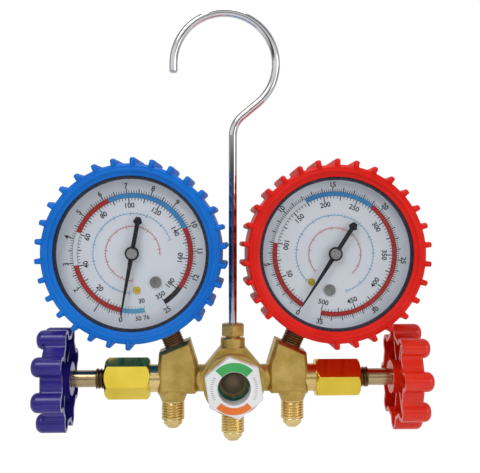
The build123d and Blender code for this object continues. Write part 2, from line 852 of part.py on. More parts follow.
def pinion_arbor():
    """The pointer's shaft with the hairspring's collet and the pinion cut on it."""
    shaft = post(arbor_r, pointer_front, plate_back - play)
    shaft += post(collet_r, spring_front, spring_front + spring_wide)
    pitch_r = gear_module * pinion_teeth / 2
    leaves = Circle(pitch_r - dedendum)
    for n in range(pinion_teeth):
        leaf = Rot(0, 0, n * 360 / pinion_teeth) * tooth(pitch_r)
        leaves += leaf
    leaves = Rot(0, 0, 180 + sector_side) * leaves
    return shaft + slab(leaves, gear_front - clear, gear_front + gear_thick + clear)


def movement_screw_places():
    top = socket_top - screw_drop
    return [(-socket_half / 2, top), (socket_half / 2, top - screw_stagger)]


def case_screw_places():
    top = socket_top - screw_drop
    return [(-socket_half / 2, top), (socket_half / 2, top - case_screw_step)]


def movement_frame():
    """Two plates on pillars, bored for arbor and sector, with posts for the dial's screws."""
    pivot = sector_pivot()
    posts = dial_screw_places()
    places = [(-pillar_x, pillar_z), (pillar_x, pillar_z), pivot] + posts
    front = make_hull([edge for p in places for edge in (Pos(*p) * Circle(plate_corner_r)).edges()])
    feet = movement_screw_places()
    places = [(-pillar_x, pillar_z), (pillar_x, pillar_z), pivot] + feet
    back = make_hull([edge for p in places for edge in (Pos(*p) * Circle(plate_corner_r * 0.75)).edges()])
    frame = slab(front, plate_front, plate_front + plate_thick)
    frame += slab(back, plate_back - plate_thick, plate_back)
    for x in (-pillar_x, pillar_x):
        frame += post(pillar_r, plate_front, plate_back, (x, pillar_z))
    for place in posts:
        frame += post(dial_post_r, dial_front + dial_thick, plate_front, place)
        frame -= post(small_shank_r + fit, dial_front, plate_front + plate_thick, place)
    for place in feet:
        frame -= post(small_shank_r + fit, plate_back - plate_thick, plate_back, place)
    frame -= post(arbor_r + fit, plate_front, plate_back)
    return frame - post(pivot_r + fit, plate_front, plate_back, pivot)


def movement_screws():
    head_front = plate_back - plate_thick - head_thick
    return [
        post(small_head_r, head_front, plate_back - plate_thick, place)
        + post(small_shank_r, head_front, plate_back + movement_screw, place)
        for place in movement_screw_places()
    ]


def case_screws():
    return [
        post(small_head_r, case_back, case_back + head_thick, place)
        + post(small_shank_r, case_back - case_screw, case_back, place)
        for place in case_screw_places()
    ]


def hairspring():
    """A flat spiral of half rings round the collet, each a step wider than the last."""
    spiral = Sketch()
    radius = collet_r + clear + spring_wire / 2
    for n in range(spring_halves):
        side = 1 if n % 2 == 0 else -1
        ring = Circle(radius + spring_wire / 2) - Circle(radius - spring_wire / 2)
        reach = radius + spring_step
        half = ring & (Pos(0, side * reach) * Rectangle(2 * reach, 2 * reach))
        spiral += Pos(-side * spring_step / 2, 0) * half
        radius += spring_step
    return slab(spiral, spring_front, spring_front + spring_wide)


def pointer(angle):
    """A thin black needle with a round hub and a diamond-ended tail."""
    needle = Polyline(
        (-needle_root, 0),
        (-needle_point, pointer_reach),
        (needle_point, pointer_reach),
        (needle_root, 0),
        close=True,
    )
    tail = Polyline(
        (-tail_half, 0),
        (-tail_half, -pointer_tail + diamond_length),
        (-diamond_half, -pointer_tail + diamond_rise),
        (-tail_half, -pointer_tail),
        (tail_half, -pointer_tail),
        (diamond_half, -pointer_tail + diamond_rise),
        (tail_half, -pointer_tail + diamond_length),
        (tail_half, 0),
        close=True,
    )
    shape = Circle(pointer_hub_r) + make_face(needle) + make_face(tail)
    plate = slab(shape, pointer_front, pointer_front + pointer_thick)
    plate -= post(arbor_r + fit, pointer_front, pointer_front + pointer_thick)
    return Rot(0, angle, 0) * plate


def pointer_cap():
    cap = post(cap_r, pointer_front - cap_thick, pointer_front)
    return chamfer(cap.faces().sort_by(Axis.Y)[0].edges(), cap_thick / 2)


# ---------------------------------------------------------------- writing the parts
os.makedirs("parts", exist_ok=True)
save("manifold_body", manifold_body())
save("sight_glass_ring", sight_glass_ring())
save("sight_glass_lens", sight_glass_lens())
save("sight_glass_gasket", sight_glass_gasket())
save("hook_gland", hook_gland())
save("hook", hook())

valve_pieces = {
    "bonnet_gasket": bonnet_gasket(),
    "piston": piston(),
    "piston_oring": piston_oring(),
    "seat_disc": seat_disc(),
    "valve_stem": stem(),
    "handwheel_screw": handwheel_screw(),
}
for name, shape in valve_pieces.items():
    save(f"low_{name}", mirror(shape, Plane.YZ))
    save(f"high_{name}", shape)
save("low_bonnet", mirror(bonnet(low_bonnet_turn), Plane.YZ))
save("high_bonnet", bonnet(high_bonnet_turn))
save("low_handwheel", mirror(handwheel(low_wheel_phase), Plane.YZ))
save("high_handwheel", handwheel(high_wheel_phase))

gauge_pieces = {
    "gauge_boot": boot(),
    "gauge_case": case(),
    "gauge_bezel": bezel(),
    "gauge_glass": gauge_glass(),
    "dial": dial(),
    "gauge_socket": socket(),
    "bourdon_tube": bourdon_tube(),
    "tube_tip": tube_tip(),
    "tip_link": link(),
    "sector_gear": sector_gear(),
    "pinion_arbor": pinion_arbor(),
    "movement_frame": movement_frame(),
    "hairspring": hairspring(),
    "pointer_cap": pointer_cap(),
}
sides = {
    "low": (-1, low_tilt, low_turn, low_zero),
    "high": (1, high_tilt, high_turn, high_zero),
}
for side, (sign, tilt, turn, zero) in sides.items():
    x, z = gauge_axis_point(gauge_reach, tilt)
    place = Pos(sign * x, 0, z) * Rot(0, sign * tilt, 0) * Rot(0, 0, turn)
    for name, shape in gauge_pieces.items():
        save(f"{side}_{name}", place * shape)
    save(f"{side}_pointer", place * pointer(zero - sign * tilt))
    groups = {
        "dial_screws": dial_screws(),
        "movement_screws": movement_screws(),
        "case_screws": case_screws(),
    }
    for name, solids in groups.items():
        save(f"{side}_{name}", Compound([place * solid for solid in solids]))
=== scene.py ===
import json
from math import cos, pi, radians, sin, sqrt

import bmesh
import bpy
from mathutils import Matrix, Vector


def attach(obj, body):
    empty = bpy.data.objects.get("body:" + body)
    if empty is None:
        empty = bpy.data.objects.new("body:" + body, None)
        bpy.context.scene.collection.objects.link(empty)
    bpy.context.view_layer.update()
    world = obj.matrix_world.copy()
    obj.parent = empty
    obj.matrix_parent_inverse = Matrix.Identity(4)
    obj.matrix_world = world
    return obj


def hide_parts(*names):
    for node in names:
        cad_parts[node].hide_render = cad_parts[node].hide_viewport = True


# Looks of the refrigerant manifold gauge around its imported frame. Metres, +X along the manifold,
# +Y from the dials to the back, +Z up. Lengths are written in millimetres times MM.
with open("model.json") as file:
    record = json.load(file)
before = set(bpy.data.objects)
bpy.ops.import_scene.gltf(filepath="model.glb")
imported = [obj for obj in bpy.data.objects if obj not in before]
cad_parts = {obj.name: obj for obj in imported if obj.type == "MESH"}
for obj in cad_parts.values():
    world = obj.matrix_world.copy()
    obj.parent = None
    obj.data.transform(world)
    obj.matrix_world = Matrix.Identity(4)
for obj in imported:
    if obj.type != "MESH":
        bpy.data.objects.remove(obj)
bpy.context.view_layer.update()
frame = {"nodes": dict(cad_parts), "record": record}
nodes = frame["nodes"]
MM = 0.001

# ---------------------------------------------------------------- the two gauges
LIFT = 21.35 * MM           # the manifold's axis above the origin
BOOT_FRONT = -20.5 * MM     # y of a boot's front rim
DIAL_FRONT = -12.0 * MM     # y of a dial's printed face
SIDES = {
    "low": {"sign": -1, "tilt": 22.6, "turn": -3.0, "centre": (-46.42 * MM, 81.85 * MM)},
    "high": {"sign": 1, "tilt": 24.2, "turn": 0.0, "centre": (47.66 * MM, 81.31 * MM)},
}


def gauge_matrix(side):
    """From a gauge drawn upright about its own middle to its place on the manifold."""
    facts = SIDES[side]
    x, z = facts["centre"]
    tilt = Matrix.Rotation(radians(facts["sign"] * facts["tilt"]), 4, "Y")
    turn = Matrix.Rotation(radians(facts["turn"]), 4, "Z")
    return Matrix.Translation((x, 0, z)) @ tilt @ turn


# ---------------------------------------------------------------- materials
def tree_of(material):
    material.use_nodes = True
    tree = material.node_tree
    return tree, tree.nodes["Principled BSDF"]


def noise(tree, scale, detail=4.0, rough=0.55, stretch=(1, 1, 1)):
    """A noise in the row frame, so that it lies still on every piece."""
    place = tree.nodes.new("ShaderNodeTexCoord")
    mapping = tree.nodes.new("ShaderNodeMapping")
    mapping.inputs["Scale"].default_value = stretch
    texture = tree.nodes.new("ShaderNodeTexNoise")
    texture.inputs["Scale"].default_value = scale
    texture.inputs["Detail"].default_value = detail
    texture.inputs["Roughness"].default_value = rough
    tree.links.new(place.outputs["Object"], mapping.inputs["Vector"])
    tree.links.new(mapping.outputs["Vector"], texture.inputs["Vector"])
    return texture.outputs["Fac"]


def ramp(tree, value, stops):
    node = tree.nodes.new("ShaderNodeValToRGB")
    elements = node.color_ramp.elements
    while len(elements) < len(stops):
        elements.new(0.5)
    for element, (at, colour) in zip(elements, stops):
        element.position = at
        element.color = (*colour, 1)
    tree.links.new(value, node.inputs["Fac"])
    return node.outputs["Color"]


def two_tone(tree, value, dark, light):
    """Two colours that blend over the middle of a noise's range."""
    return ramp(tree, value, [(0.3, dark), (0.7, light)])


def span(tree, value, low, high, start=0.0, end=1.0):
    """Maps a value that runs from start to end onto the range from low to high."""
    node = tree.nodes.new("ShaderNodeMapRange")
    for name, number in (("From Min", start), ("From Max", end), ("To Min", low), ("To Max", high)):
        node.inputs[name].default_value = number
    tree.links.new(value, node.inputs["Value"])
    return node.outputs["Result"]


COAT_ROUGHNESS = 0.12
GRAIN_DETAIL, GRAIN_ROUGH = 3.0, 0.6
# The glass's uneven grey veil, with its noise scale and its grey, is painted reflection.
PAINTED_REFLECTION_SCALE = 25
GLASS_ROUGHNESS, GLASS_SHINE = 0.04, 0.35
PAINTED_REFLECTION_GREY = (0.6, 0.6, 0.6)


def surface(name, dark, light, roughness, metallic=0.0, grain=900, bump=0.1, depth=0.00005,
            stretch=(1, 1, 1), coat=0.0, cloud=60, shine=0.5, soften=0.0):
    """A procedural finish: clouded colour, uneven gloss and a fine grain in relief.

    soften is the radius, in metres, over which edges are shaded round. Their geometry stays sharp.
    """
    material = bpy.data.materials.new(name)
    tree, shader = tree_of(material)
    shader.inputs["Metallic"].default_value = metallic
    shader.inputs["Specular IOR Level"].default_value = shine
    shader.inputs["Coat Weight"].default_value = coat
    shader.inputs["Coat Roughness"].default_value = COAT_ROUGHNESS
    tree.links.new(two_tone(tree, noise(tree, cloud), dark, light), shader.inputs["Base Color"])
    fine = noise(tree, grain, GRAIN_DETAIL, GRAIN_ROUGH, stretch)
    tree.links.new(span(tree, fine, *roughness), shader.inputs["Roughness"])
    relief = tree.nodes.new("ShaderNodeBump")
    relief.inputs["Strength"].default_value = bump
    relief.inputs["Distance"].default_value = depth
    tree.links.new(fine, relief.inputs["Height"])
    if soften:
        edges = tree.nodes.new("ShaderNodeBevel")
        edges.inputs["Radius"].default_value = soften
        tree.links.new(edges.outputs["Normal"], relief.inputs["Normal"])
    tree.links.new(relief.outputs["Normal"], shader.inputs["Normal"])
    return material


def glass(name, tint, alpha):
    """Clear glass: mostly see-through, with a faint uneven grey veil that is painted reflection."""
    material = bpy.data.materials.new(name)
    tree, shader = tree_of(material)
    # painted reflection: a faint grey veil that varies with a noise
    painted_reflection = noise(tree, PAINTED_REFLECTION_SCALE)
    tree.links.new(two_tone(tree, painted_reflection, tint, PAINTED_REFLECTION_GREY), shader.inputs["Base Color"])
    shader.inputs["Roughness"].default_value = GLASS_ROUGHNESS
    shader.inputs["Specular IOR Level"].default_value = GLASS_SHINE
    tree.links.new(span(tree, painted_reflection, alpha * 0.7, alpha * 1.3), shader.inputs["Alpha"])
    return material


FORGED = surface("forged brass", (0.46, 0.31, 0.07), (0.70, 0.51, 0.16), (0.30, 0.48), 1.0,
                 grain=1100, bump=0.8, depth=0.0004, cloud=140, soften=0.0009)
MACHINED = surface("turned brass", (0.82, 0.60, 0.055), (0.95, 0.74, 0.11), (0.12, 0.22), 1.0,
                   grain=700, bump=0.10, stretch=(0.15, 4, 4), soften=0.0003)
THREAD_BRASS = surface("thread brass", (0.72, 0.53, 0.20), (0.88, 0.69, 0.32), (0.18, 0.32), 1.0,
                       grain=900, bump=0.15)
STEM_BRASS = surface("stem brass", (0.44, 0.33, 0.18), (0.62, 0.48, 0.27), (0.15, 0.30), 1.0,
                     grain=800, bump=0.12, stretch=(0.1, 5, 5))
DARK_BRASS = surface("dark brass", (0.13, 0.085, 0.035), (0.30, 0.21, 0.10), (0.25, 0.42), 1.0,
                     grain=900, bump=0.2)
BRONZE_DOME = surface("sight glass bowl", (0.24, 0.15, 0.07), (0.42, 0.30, 0.15), (0.30, 0.45), 0.4,
                      grain=900, bump=0.2)
SCREW_SILVER = surface("screw steel", (0.24, 0.24, 0.23), (0.46, 0.46, 0.44), (0.22, 0.36), 1.0,
                       grain=1600, bump=0.2, stretch=(6, 1, 1))
INK_GREY = surface("grey ink", (0.20, 0.20, 0.21), (0.30, 0.30, 0.31), (0.5, 0.7), shine=0.15)
BRONZE = surface("dark bronze", (0.16, 0.085, 0.035), (0.30, 0.18, 0.08), (0.28, 0.45), 1.0,
                 grain=900, bump=0.3)
CHROME = surface("chrome", (0.62, 0.62, 0.64), (0.72, 0.72, 0.74), (0.05, 0.12), 1.0,
                 grain=500, bump=0.03)
STEEL = surface("plain steel", (0.42, 0.42, 0.42), (0.60, 0.60, 0.59), (0.20, 0.38), 1.0,
                grain=1600, bump=0.2, stretch=(6, 1, 1))
COPPER = surface("annealed copper", (0.55, 0.27, 0.16), (0.75, 0.42, 0.27), (0.25, 0.45), 1.0)
CASE_BLACK = surface("case enamel", (0.012, 0.012, 0.014), (0.03, 0.03, 0.034), (0.28, 0.42))
BEZEL_BLACK = surface("bezel enamel", (0.010, 0.012, 0.030), (0.03, 0.03, 0.05), (0.20, 0.35))
SHROUD = surface("dial shroud", (0.42, 0.46, 0.54), (0.52, 0.56, 0.64), (0.3, 0.45))
RING_WHITE = surface("ring enamel", (0.80, 0.81, 0.82), (0.90, 0.90, 0.91), (0.22, 0.34), coat=0.3)
RING_GREEN = surface("green enamel", (0.035, 0.36, 0.085), (0.06, 0.46, 0.12), (0.25, 0.35))
RING_ORANGE = surface("orange enamel", (0.80, 0.16, 0.02), (0.90, 0.22, 0.03), (0.25, 0.35))
DIAL_WHITE = surface("dial enamel", (0.60, 0.64, 0.70), (0.70, 0.74, 0.80), (0.45, 0.6),
                     cloud=18, shine=0.2)
INK_BLACK = surface("black ink", (0.012, 0.012, 0.015), (0.03, 0.03, 0.035), (0.5, 0.7), shine=0.15)
INK_RED = surface("red ink", (0.34, 0.016, 0.016), (0.42, 0.03, 0.028), (0.5, 0.7), shine=0.15)
INK_BLUE = surface("blue ink", (0.03, 0.20, 0.48), (0.05, 0.26, 0.56), (0.5, 0.7), shine=0.15)
INK_SKY = surface("pale blue ink", (0.07, 0.30, 0.50), (0.12, 0.38, 0.58), (0.5, 0.7), shine=0.15)
INK_PINK = surface("pale red ink", (0.50, 0.10, 0.12), (0.58, 0.16, 0.17), (0.5, 0.7), shine=0.15)
POINTER_BLACK = surface("pointer enamel", (0.005, 0.005, 0.007), (0.014, 0.014, 0.02), (0.3, 0.45),
                        shine=0.2)
BLUE_RUBBER = surface("blue rubber", (0.000, 0.150, 0.62), (0.002, 0.19, 0.72), (0.40, 0.55),
                      grain=1500, bump=0.12, shine=0.22, soften=0.0006)
RED_RUBBER = surface("red rubber", (0.72, 0.006, 0.002), (0.84, 0.014, 0.004), (0.38, 0.52),
                     grain=1500, bump=0.12, shine=0.22, soften=0.0006)
VIOLET_PLASTIC = surface("violet plastic", (0.020, 0.012, 0.20), (0.032, 0.02, 0.27), (0.16, 0.24),
                         grain=600, bump=0.05, coat=0.25, shine=0.3, soften=0.0003)
SCARLET_PLASTIC = surface("scarlet plastic", (0.70, 0.016, 0.004), (0.84, 0.03, 0.008),
                          (0.18, 0.28), grain=600, bump=0.05, coat=0.25, shine=0.3, soften=0.0003)
SEAL_GREEN = surface("green sealing rubber", (0.0, 0.16, 0.07), (0.004, 0.26, 0.12), (0.3, 0.45))
SEAL_BLACK = surface("black rubber", (0.01, 0.01, 0.01), (0.03, 0.03, 0.03), (0.5, 0.7))
SEAT_WHITE = surface("seat plastic", (0.72, 0.72, 0.66), (0.82, 0.82, 0.76), (0.4, 0.55))
CLEAR = glass("gauge glass", (0.40, 0.44, 0.50), 0.012)
SIGHT_CLEAR = glass("sight glass", (0.30, 0.36, 0.32), 0.05)

FINISH = {
    "manifold_body": FORGED,
    "sight_glass_ring": RING_WHITE,
    "sight_glass_lens": SIGHT_CLEAR,
    "sight_glass_gasket": SEAL_GREEN,
    "hook_gland": FORGED,
    "hook": CHROME,
    "bonnet": MACHINED,
    "bonnet_gasket": COPPER,
    "piston": STEM_BRASS,
    "piston_oring": SEAL_BLACK,
    "seat_disc": SEAT_WHITE,
    "valve_stem": STEM_BRASS,
    "handwheel_screw": STEEL,
    "gauge_case": CASE_BLACK,
    "gauge_bezel": BEZEL_BLACK,
    "gauge_glass": CLEAR,
    "dial": DIAL_WHITE,
    "dial_screws": STEEL,
    "gauge_socket": BRONZE,
    "bourdon_tube": THREAD_BRASS,
    "tube_tip": MACHINED,
    "movement_frame": MACHINED,
    "movement_screws": STEEL,
    "case_screws": STEEL,
    "hairspring": THREAD_BRASS,
    "pinion_arbor": STEEL,
    "pointer": POINTER_BLACK,
    "pointer_cap": STEEL,
    "sector_gear": MACHINED,
    "tip_link": STEEL,
}
RUBBER = {"low": BLUE_RUBBER, "high": RED_RUBBER}
BY_SIDE = {
    "gauge_boot": RUBBER,
    "handwheel": {"low": VIOLET_PLASTIC, "high": SCARLET_PLASTIC},
}
SMOOTH_UP_TO = radians(35)  # the sharpest edge that soft shading runs over


def side_and_kind(node):
    """A piece's side, if it has one, and its name without the side."""
    side, _, kind = node.partition("_")
    return (side, kind) if side in SIDES else (None, node)


def dress(obj, material):
    obj.data.materials.clear()
    obj.data.materials.append(material)


def smooth(obj):
    """Soft shading over curves, with the true edges kept sharp."""
    mesh = obj.data
    mesh.polygons.foreach_set("use_smooth", [True] * len(mesh.polygons))
    edit = bmesh.new()
    edit.from_mesh(mesh)
    for edge in edit.edges:
        edge.smooth = len(edge.link_faces) == 2 and edge.calc_face_angle(0) < SMOOTH_UP_TO
    edit.to_mesh(mesh)
    edit.free()


for name, obj in nodes.items():
    side, kind = side_and_kind(name)
    dress(obj, BY_SIDE[kind][side] if kind in BY_SIDE else FINISH[kind])


# ---------------------------------------------------------------- making meshes
def add_object(name, data):
    obj = bpy.data.objects.new(name, data)
    bpy.context.scene.collection.objects.link(obj)
    return obj


def mesh_of(name, edit):
    """A mesh made from a bmesh, which is then freed."""
    mesh = bpy.data.meshes.new(name)
    edit.to_mesh(mesh)
    edit.free()
    return mesh


def new_piece(name, edit, material, body):
    """Turns a bmesh into a smooth piece that rides on a body."""
    bmesh.ops.recalc_face_normals(edit, faces=edit.faces)
    obj = add_object(name, mesh_of(name, edit))
    dress(obj, material)
    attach(obj, body)
    smooth(obj)


def bridge(edit, first, second, closed=True, index=0):
    """Faces between two rows of points of equal length."""
    count = len(first)
    for i in range(count if closed else count - 1):
        j = (i + 1) % count
        face = edit.faces.new((first[i], first[j], second[j], second[i]))
        face.material_index = index


def in_metres(profile):
    return [(r * MM, y * MM) for r, y in profile]


def revolve(edit, place, profile, count, closed=True):
    """Turns a profile of (radius, y) points about a place's Y axis. A closed one joins up."""
    angles = [2 * pi * n / count for n in range(count)]
    rows = [[edit.verts.new(place @ Vector((r * sin(a), y, r * cos(a)))) for a in angles]
            for r, y in profile]
    for one, two in zip(rows, rows[1:] + rows[:1] if closed else rows[1:]):
        bridge(edit, one, two)


def copy_of(node):
    """A bmesh of a CAD node, its place kept."""
    edit = bmesh.new()
    edit.from_mesh(nodes[node].data)
    return edit


def body_name(node):
    """The CAD body that a node belongs to."""
    bodies = frame["record"]["behaviour"]["bodies"]
    return next(name for name, members in bodies.items() if node in members)


def stand_in(node, edit, *materials):
    """A mesh that is shown in place of a CAD node and moves as it does."""
    name = node + "_shown"
    obj = add_object(name, mesh_of(name, edit))
    for material in materials:
        obj.data.materials.append(material)
    smooth(obj)
    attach(obj, body_name(node))
    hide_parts(node)


THREAD_SIDES = 56           # points round a thread
THREAD_ROWS = 8             # rows of points to a pitch
ON_CYLINDER = 0.012 * MM    # how far from its radius a cylinder's point may lie
UPRIGHT = 0.05              # the most that a cylinder's normal may lean along its axis
GROOVE_HALF = 0.36          # half of a groove's width, as a share of the pitch
GROOVE_STEEP = 1.15         # above 1, the groove's floor is flat


def cut_thread(edit, place, radius, pitch, depth, index=0):
    """Swaps a plain cylinder about a place's Z axis for a helical thread of the same radius."""
    back = place.inverted()
    gone, heights = [], []
    for face in edit.faces:
        spots = [back @ v.co for v in face.verts]
        on = all(abs(sqrt(q.x**2 + q.y**2) - radius) < ON_CYLINDER for q in spots)
        if on and abs((back.to_3x3() @ face.normal).z) < UPRIGHT:
            gone.append(face)
            heights += [q.z for q in spots]
    low, high = min(heights), max(heights)
    bmesh.ops.delete(edit, geom=gone, context="FACES_ONLY")
    count = max(2, round((high - low) / pitch * THREAD_ROWS))
    before = None
    for i in range(count + 1):
        z = low + (high - low) * i / count
        ease = min(1, i / THREAD_ROWS, (count - i) / THREAD_ROWS)
        row = []
        for j in range(THREAD_SIDES):
            a = 2 * pi * j / THREAD_SIDES
            part = ((z - low) / pitch - a / (2 * pi)) % 1
            groove = max(0, 1 - abs(part - 0.5) / GROOVE_HALF)
            r = radius - depth * ease * min(1, GROOVE_STEEP * groove)
            row.append(edit.verts.new(place @ Vector((r * cos(a), r * sin(a), z))))
        if before:
            bridge(edit, before, row, index=index)
        before = row


# ---------------------------------------------------------------- camera, light and backdrop
CAMERA_PLACE = (-11.791 * MM, -368.373 * MM, 66.536 * MM + LIFT)
CAMERA_TURN = (radians(90 + 0.2586), 0, radians(-2.377))
CAMERA_LENS, CAMERA_SENSOR = 57.115, 36

LAMP_SIZE = 0.5
LAMP_AIM = Vector((0, 0, 0.09))
LAMPS = (
    ("key", (-0.45, -0.75, 0.95), 4.2),
    ("fill", (0.75, -0.65, 0.25), 1.5),
    ("top", (0.0, 0.1, 0.9), 2.2),
)

# The greys that metal and glass mirror, by height from straight down (0) to straight up (1): first
# those in front of the dials, a bright band above a dark one, then those behind them.
ROOM_AHEAD = ((0.0, 0.34), (0.43, 0.40), (0.49, 0.05), (0.55, 0.08),
              (0.60, 0.95), (0.72, 0.80), (0.82, 0.22), (1.0, 0.45))
ROOM_BEHIND = ((0.0, 0.34), (0.5, 0.42), (0.75, 0.26), (1.0, 0.45))
AHEAD_UP_TO, BEHIND_FROM = -0.35, 0.15      # y of a ray's direction
MIX_SHARE, MIX_ONE, MIX_TWO, MIX_RESULT = 0, 6, 7, 2    # a mix node's sockets for colours

FLOOR_Z, FLOOR_FRONT, FLOOR_HALF = -60 * MM, -1.6, 1.8
BACKDROP_Y, BACKDROP_TOP = 0.9, 1.6
SWEEP_R, SWEEP_STEPS = 0.35, 12
FLOOR_COLOUR, FLOOR_ROUGHNESS = (0.92, 0.92, 0.92, 1), 0.9
GLOW, GLOW_SHARE = 1.06, 0.9                # of the even white that the camera sees in the floor


def make_camera():
    data = bpy.data.cameras.new("camera")
    data.lens = CAMERA_LENS
    data.sensor_width = CAMERA_SENSOR
    data.sensor_fit = "HORIZONTAL"
    camera = add_object("camera", data)
    camera.location = CAMERA_PLACE
    camera.rotation_euler = CAMERA_TURN
    bpy.context.scene.camera = camera


def make_lamps():
    for name, place, power in LAMPS:
        data = bpy.data.lights.new(name, "AREA")
        data.shape = "RECTANGLE"
        data.size = data.size_y = LAMP_SIZE
        data.energy = power
        lamp = add_object(name, data)
        lamp.location = place
        lamp.rotation_euler = (LAMP_AIM - Vector(place)).to_track_quat("-Z", "Y").to_euler()


def greys(stops):
    return [(at, (level,) * 3) for at, level in stops]


def show_mixed(tree, share, one, two, end):
    """Sends one shader to an output node, and the other in its place where the share is 1."""
    mix = tree.nodes.new("ShaderNodeMixShader")
    tree.links.new(share, mix.inputs["Fac"])
    tree.links.new(one.outputs[0], mix.inputs[1])
    tree.links.new(two.outputs[0], mix.inputs[2])
    tree.links.new(mix.outputs[0], tree.nodes[end].inputs["Surface"])


def make_world():
    """White to the camera and through glass; a room of greys to what mirrors it."""
    world = bpy.data.worlds.new("studio")
    bpy.context.scene.world = world
    world.use_nodes = True
    tree = world.node_tree
    place = tree.nodes.new("ShaderNodeTexCoord")
    parts = tree.nodes.new("ShaderNodeSeparateXYZ")
    tree.links.new(place.outputs["Generated"], parts.inputs["Vector"])
    height = span(tree, parts.outputs["Z"], 0, 1, start=-1)
    behind = span(tree, parts.outputs["Y"], 0, 1, AHEAD_UP_TO, BEHIND_FROM)
    room = tree.nodes.new("ShaderNodeMix")
    room.data_type = "RGBA"
    tree.links.new(behind, room.inputs[MIX_SHARE])
    tree.links.new(ramp(tree, height, greys(ROOM_AHEAD)), room.inputs[MIX_ONE])
    tree.links.new(ramp(tree, height, greys(ROOM_BEHIND)), room.inputs[MIX_TWO])
    background = tree.nodes["Background"]
    tree.links.new(room.outputs[MIX_RESULT], background.inputs["Color"])
    white = tree.nodes.new("ShaderNodeBackground")
    white.inputs["Color"].default_value = (1, 1, 1, 1)
    rays = tree.nodes.new("ShaderNodeLightPath")
    either = tree.nodes.new("ShaderNodeMath")
    either.operation = "MAXIMUM"
    tree.links.new(rays.outputs["Is Camera Ray"], either.inputs[0])
    tree.links.new(rays.outputs["Is Transmission Ray"], either.inputs[1])
    show_mixed(tree, either.outputs[0], background, white, "World Output")


def make_floor():
    """A pale floor that sweeps up into a backdrop. It keeps a faint shadow."""
    edit = bmesh.new()
    bend_y = BACKDROP_Y - SWEEP_R
    line = [(FLOOR_FRONT, FLOOR_Z), (bend_y, FLOOR_Z)]
    for n in range(1, SWEEP_STEPS + 1):
        angle = radians(90 * n / SWEEP_STEPS)
        line.append((bend_y + SWEEP_R * sin(angle), FLOOR_Z + SWEEP_R * (1 - cos(angle))))
    line.append((BACKDROP_Y, BACKDROP_TOP))
    rows = [[edit.verts.new((x, y, z)) for y, z in line] for x in (-FLOOR_HALF, FLOOR_HALF)]
    bridge(edit, rows[0], rows[1], closed=False)
    floor = add_object("floor", mesh_of("floor", edit))
    material = bpy.data.materials.new("floor")
    tree, shader = tree_of(material)
    shader.inputs["Base Color"].default_value = FLOOR_COLOUR
    shader.inputs["Roughness"].default_value = FLOOR_ROUGHNESS
    white = tree.nodes.new("ShaderNodeEmission")
    white.inputs["Strength"].default_value = GLOW
    rays = tree.nodes.new("ShaderNodeLightPath")
    share = tree.nodes.new("ShaderNodeMath")
    share.operation = "MULTIPLY"
    share.inputs[1].default_value = GLOW_SHARE
    tree.links.new(rays.outputs["Is Camera Ray"], share.inputs[0])
    show_mixed(tree, share.outputs[0], shader, white, "Material Output")
    dress(floor, material)


# ---------------------------------------------------------------- printing on flat faces
INK_LIFT = 0.04 * MM        # how far the print stands off its face
BAND_STEP = 3.0             # degrees between a band's points
DIGIT_SIZE = 1.5            # the font's size over the digits' height
DIGIT_WEIGHT = 0.035        # what thickens the strokes, as a share of that height
DIGIT_CURVE = 3             # points to a curve of the outline
TURNED_OVER = (100, 260)    # degrees between which digits are turned over


class Print:
    """Thin printed shapes, gathered by colour, on a plane seen from the front.

    Angles are in degrees, clockwise from the top.
    """

    def __init__(self):
        self.inks = {}

    def sheet(self, ink):
        if ink not in self.inks:
            self.inks[ink] = bmesh.new()
        return self.inks[ink]

    def band(self, ink, inner, outer, start, end):
        edit = self.sheet(ink)
        count = max(1, round(abs(end - start) / BAND_STEP))
        rows = []
        for n in range(count + 1):
            a = radians(start + (end - start) * n / count)
            rows.append([edit.verts.new((r * sin(a), 0, r * cos(a))) for r in (inner, outer)])
        for one, two in zip(rows, rows[1:]):
            bridge(edit, one, two, closed=False)

    def tick(self, ink, inner, outer, angle, width):
        edit = self.sheet(ink)
        a = radians(angle)
        out, across = Vector((sin(a), 0, cos(a))), Vector((cos(a), 0, -sin(a))) * width / 2
        corners = (out * inner - across, out * outer - across,
                   out * outer + across, out * inner + across)
        edit.faces.new([edit.verts.new(c) for c in corners])

    def number(self, value, radius, angle, height):
        """Black digits along a circle, turned over in its lower half so that they stay readable."""
        curve = bpy.data.curves.new("digits", "FONT")
        curve.body = str(value)
        curve.size = height * DIGIT_SIZE
        curve.align_x = "CENTER"
        curve.align_y = "CENTER"
        curve.resolution_u = DIGIT_CURVE
        curve.offset = height * DIGIT_WEIGHT
        holder = add_object("digits", curve)
        bpy.context.view_layer.update()
        depsgraph = bpy.context.evaluated_depsgraph_get()
        mesh = bpy.data.meshes.new_from_object(holder.evaluated_get(depsgraph))
        lower = TURNED_OVER[0] < angle % 360 < TURNED_OVER[1]
        a = radians(angle)
        turn = Matrix.Rotation(a + (pi if lower else 0), 4, "Y")
        place = Matrix.Translation((radius * sin(a), 0, radius * cos(a)))
        mesh.transform(place @ turn @ Matrix.Rotation(radians(90), 4, "X"))
        self.sheet(INK_BLACK).from_mesh(mesh)
        bpy.data.objects.remove(holder)
        bpy.data.curves.remove(curve)
        bpy.data.meshes.remove(mesh)

    def lay(self, prefix, place, body, slot):
        """Puts each colour on a body, as a piece of its own."""
        for ink, edit in self.inks.items():
            for face in edit.faces:
                face.normal_update()
                if face.normal.y > 0:
                    face.normal_flip()
            name = prefix + "_" + ink.name.replace(" ", "_")
            mesh = mesh_of(name, edit)
            mesh.transform(place)
            obj = add_object(name, mesh)
            dress(obj, ink)
            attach(obj, body)


